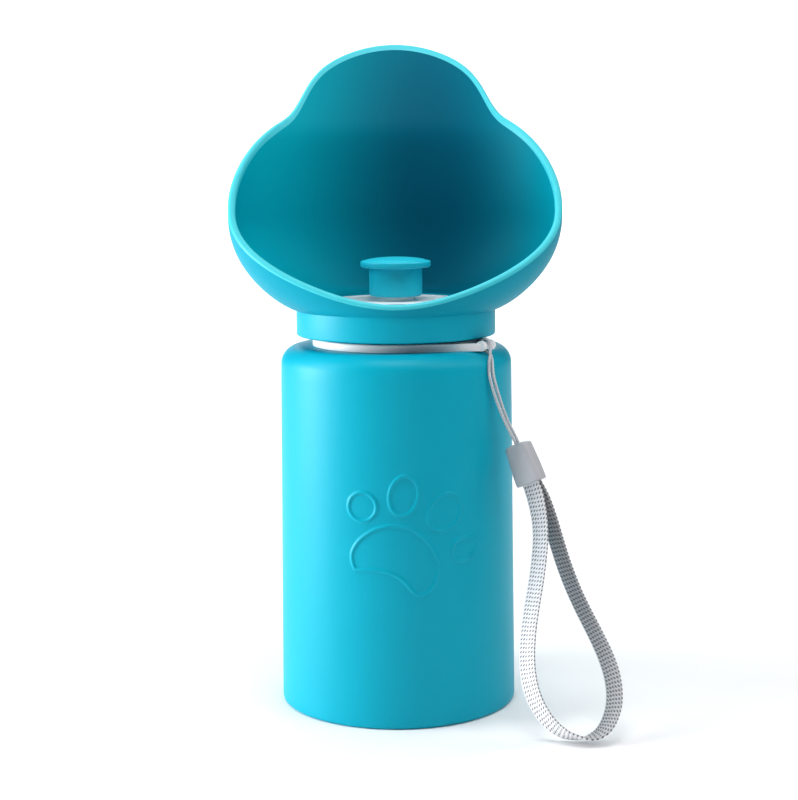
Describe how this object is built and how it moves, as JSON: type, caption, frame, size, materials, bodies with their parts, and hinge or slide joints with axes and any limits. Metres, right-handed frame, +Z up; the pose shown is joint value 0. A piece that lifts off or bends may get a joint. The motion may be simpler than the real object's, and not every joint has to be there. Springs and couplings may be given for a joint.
{
  "type": "dog travel water bottle",
  "caption": "Squeeze bottle for a dog with a scoop-shaped drinking hood on a screw collar, a pull-up valve in the hood's floor, and a wrist lanyard on a turning neck ring.",
  "frame": {"origin": "middle of the base's flat underside, on the bottle's axis", "axes": "+Z up along the bottle's axis, +X to the right as seen from the front, +Y to the back, where the hood is tall; the paw outline faces -Y"},
  "size_m": [0.1174, 0.1064, 0.2072],
  "materials": {
    "bottle_plastic": "teal satin plastic, moulded",
    "hood_plastic": "teal satin plastic, a little translucent at thin edges",
    "white_plastic": "white satin plastic",
    "clear_silicone": "milky silicone",
    "seal_rubber": "black rubber",
    "string_fibre": "twisted light grey string",
    "sleeve_plastic": "light grey satin plastic",
    "webbing_weave": "woven light grey tape"
  },
  "bodies": {
    "bottle": {"bottle_body": "bottle_plastic"},
    "tether": {"tether_ring": "white_plastic"},
    "lanyard": {"lanyard_string": "string_fibre", "lanyard_sleeve": "sleeve_plastic", "wrist_webbing": "webbing_weave"},
    "gasket": {"mouth_gasket": "clear_silicone"},
    "hood": {"screw_collar": "hood_plastic", "drinking_hood": "hood_plastic", "valve_plate": "white_plastic"},
    "valve": {"valve_cap": "hood_plastic", "valve_plunger": "white_plastic", "plunger_seal": "seal_rubber", "plunger_clip": "white_plastic"}
  },
  "joints": [
    {"name": "tether_turn", "type": "hinge", "parent": "bottle", "child": "tether", "pos_m": [0, 0, 0.114], "axis": [0, 0, 1], "continuous": true},
    {"name": "lanyard_swing", "type": "hinge", "parent": "tether", "child": "lanyard", "pos_m": [0.02702, -0.01963, 0.114], "axis": [-0.5878, -0.809, 0], "range_deg": [0, 75]},
    {"name": "hood_lift", "type": "slide", "parent": "bottle", "child": "gasket", "axis": [0, 0, 1], "range_m": [0, 0.003]},
    {"name": "hood_turn", "type": "hinge", "parent": "gasket", "child": "hood", "pos_m": [0, 0, 0.123], "axis": [0, 0, 1], "range_deg": [0, 360]},
    {"name": "valve_pull", "type": "slide", "parent": "hood", "child": "valve", "axis": [0, 0, 1], "range_m": [0, 0.006]}
  ],
  "couplings": [
    {"joint": "hood_lift", "follows": "hood_turn", "m_per_rad": 0.0004774}
  ]
}
